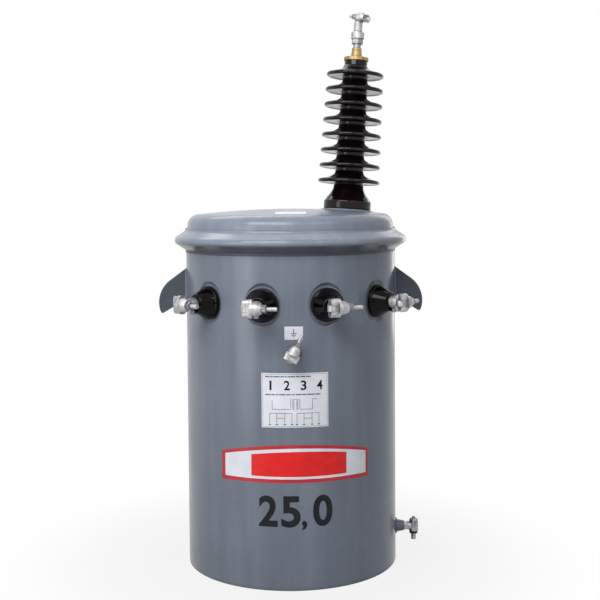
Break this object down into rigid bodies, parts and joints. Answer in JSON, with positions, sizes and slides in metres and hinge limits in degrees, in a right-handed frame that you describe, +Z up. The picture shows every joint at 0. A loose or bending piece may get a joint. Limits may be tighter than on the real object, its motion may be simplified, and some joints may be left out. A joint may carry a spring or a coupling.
{
  "type": "pole-type oil-immersed distribution transformer",
  "caption": "Round grey tank with a domed clamped cover, a tall shedded bushing on top, a row of short bushings with terminal clamps, lifting hooks, pole brackets and a sampling valve.",
  "frame": {"origin": "on the tank axis, in the plane of the tank's bottom rim", "axes": "+Z up along the tank axis, -Y towards the row of low-voltage bushings, +Y towards the pole brackets"},
  "size_m": [0.5656, 0.5787, 1.1941],
  "materials": {
    "tank_paint": "satin",
    "gasket": "matte",
    "hv_glaze": "gloss",
    "lv_glaze": "gloss",
    "cap_brass": "satin",
    "tinned_metal": "satin",
    "zinc_steel": "satin",
    "valve_metal": "satin"
  },
  "bodies": {
    "root": {"tank_wall": "tank_paint", "tank_bottom": "tank_paint", "tank_flange": "tank_paint", "cover": "tank_paint", "cover_gasket": "gasket", "cover_band": "tank_paint", "cover_band_bolt": "zinc_steel", "cover_band_nut": "zinc_steel", "hv_gasket": "gasket", "hv_bushing": "hv_glaze", "hv_cap": "cap_brass", "hv_stud": "tinned_metal", "hv_jam_nut": "tinned_metal", "hv_clamp": "tinned_metal", "hv_eyebolt": "tinned_metal", "lv_bushing_1": "lv_glaze", "lv_bushing_2": "lv_glaze", "lv_bushing_3": "lv_glaze", "lv_bushing_4": "lv_glaze", "lv_gaskets": "gasket", "lv_studs": "tinned_metal", "lv_clamp_1": "tinned_metal", "lv_clamp_2": "tinned_metal", "lv_clamp_3": "tinned_metal", "lv_clamp_4": "tinned_metal", "lv_eyebolt_1": "tinned_metal", "lv_eyebolt_2": "tinned_metal", "lv_eyebolt_3": "tinned_metal", "lv_eyebolt_4": "tinned_metal", "lock_screws": "zinc_steel", "clamp_nuts": "tinned_metal", "lifting_lug_left": "tank_paint", "lifting_lug_right": "tank_paint", "hanger_upper": "tank_paint", "hanger_lower": "tank_paint", "ground_boss": "tank_paint", "ground_stud": "tinned_metal", "ground_clamp": "tinned_metal", "ground_eyebolt": "tinned_metal", "valve_boss": "tank_paint", "valve_body": "valve_metal", "valve_bonnet": "valve_metal", "valve_outlet": "valve_metal"}
  },
  "joints": []
}
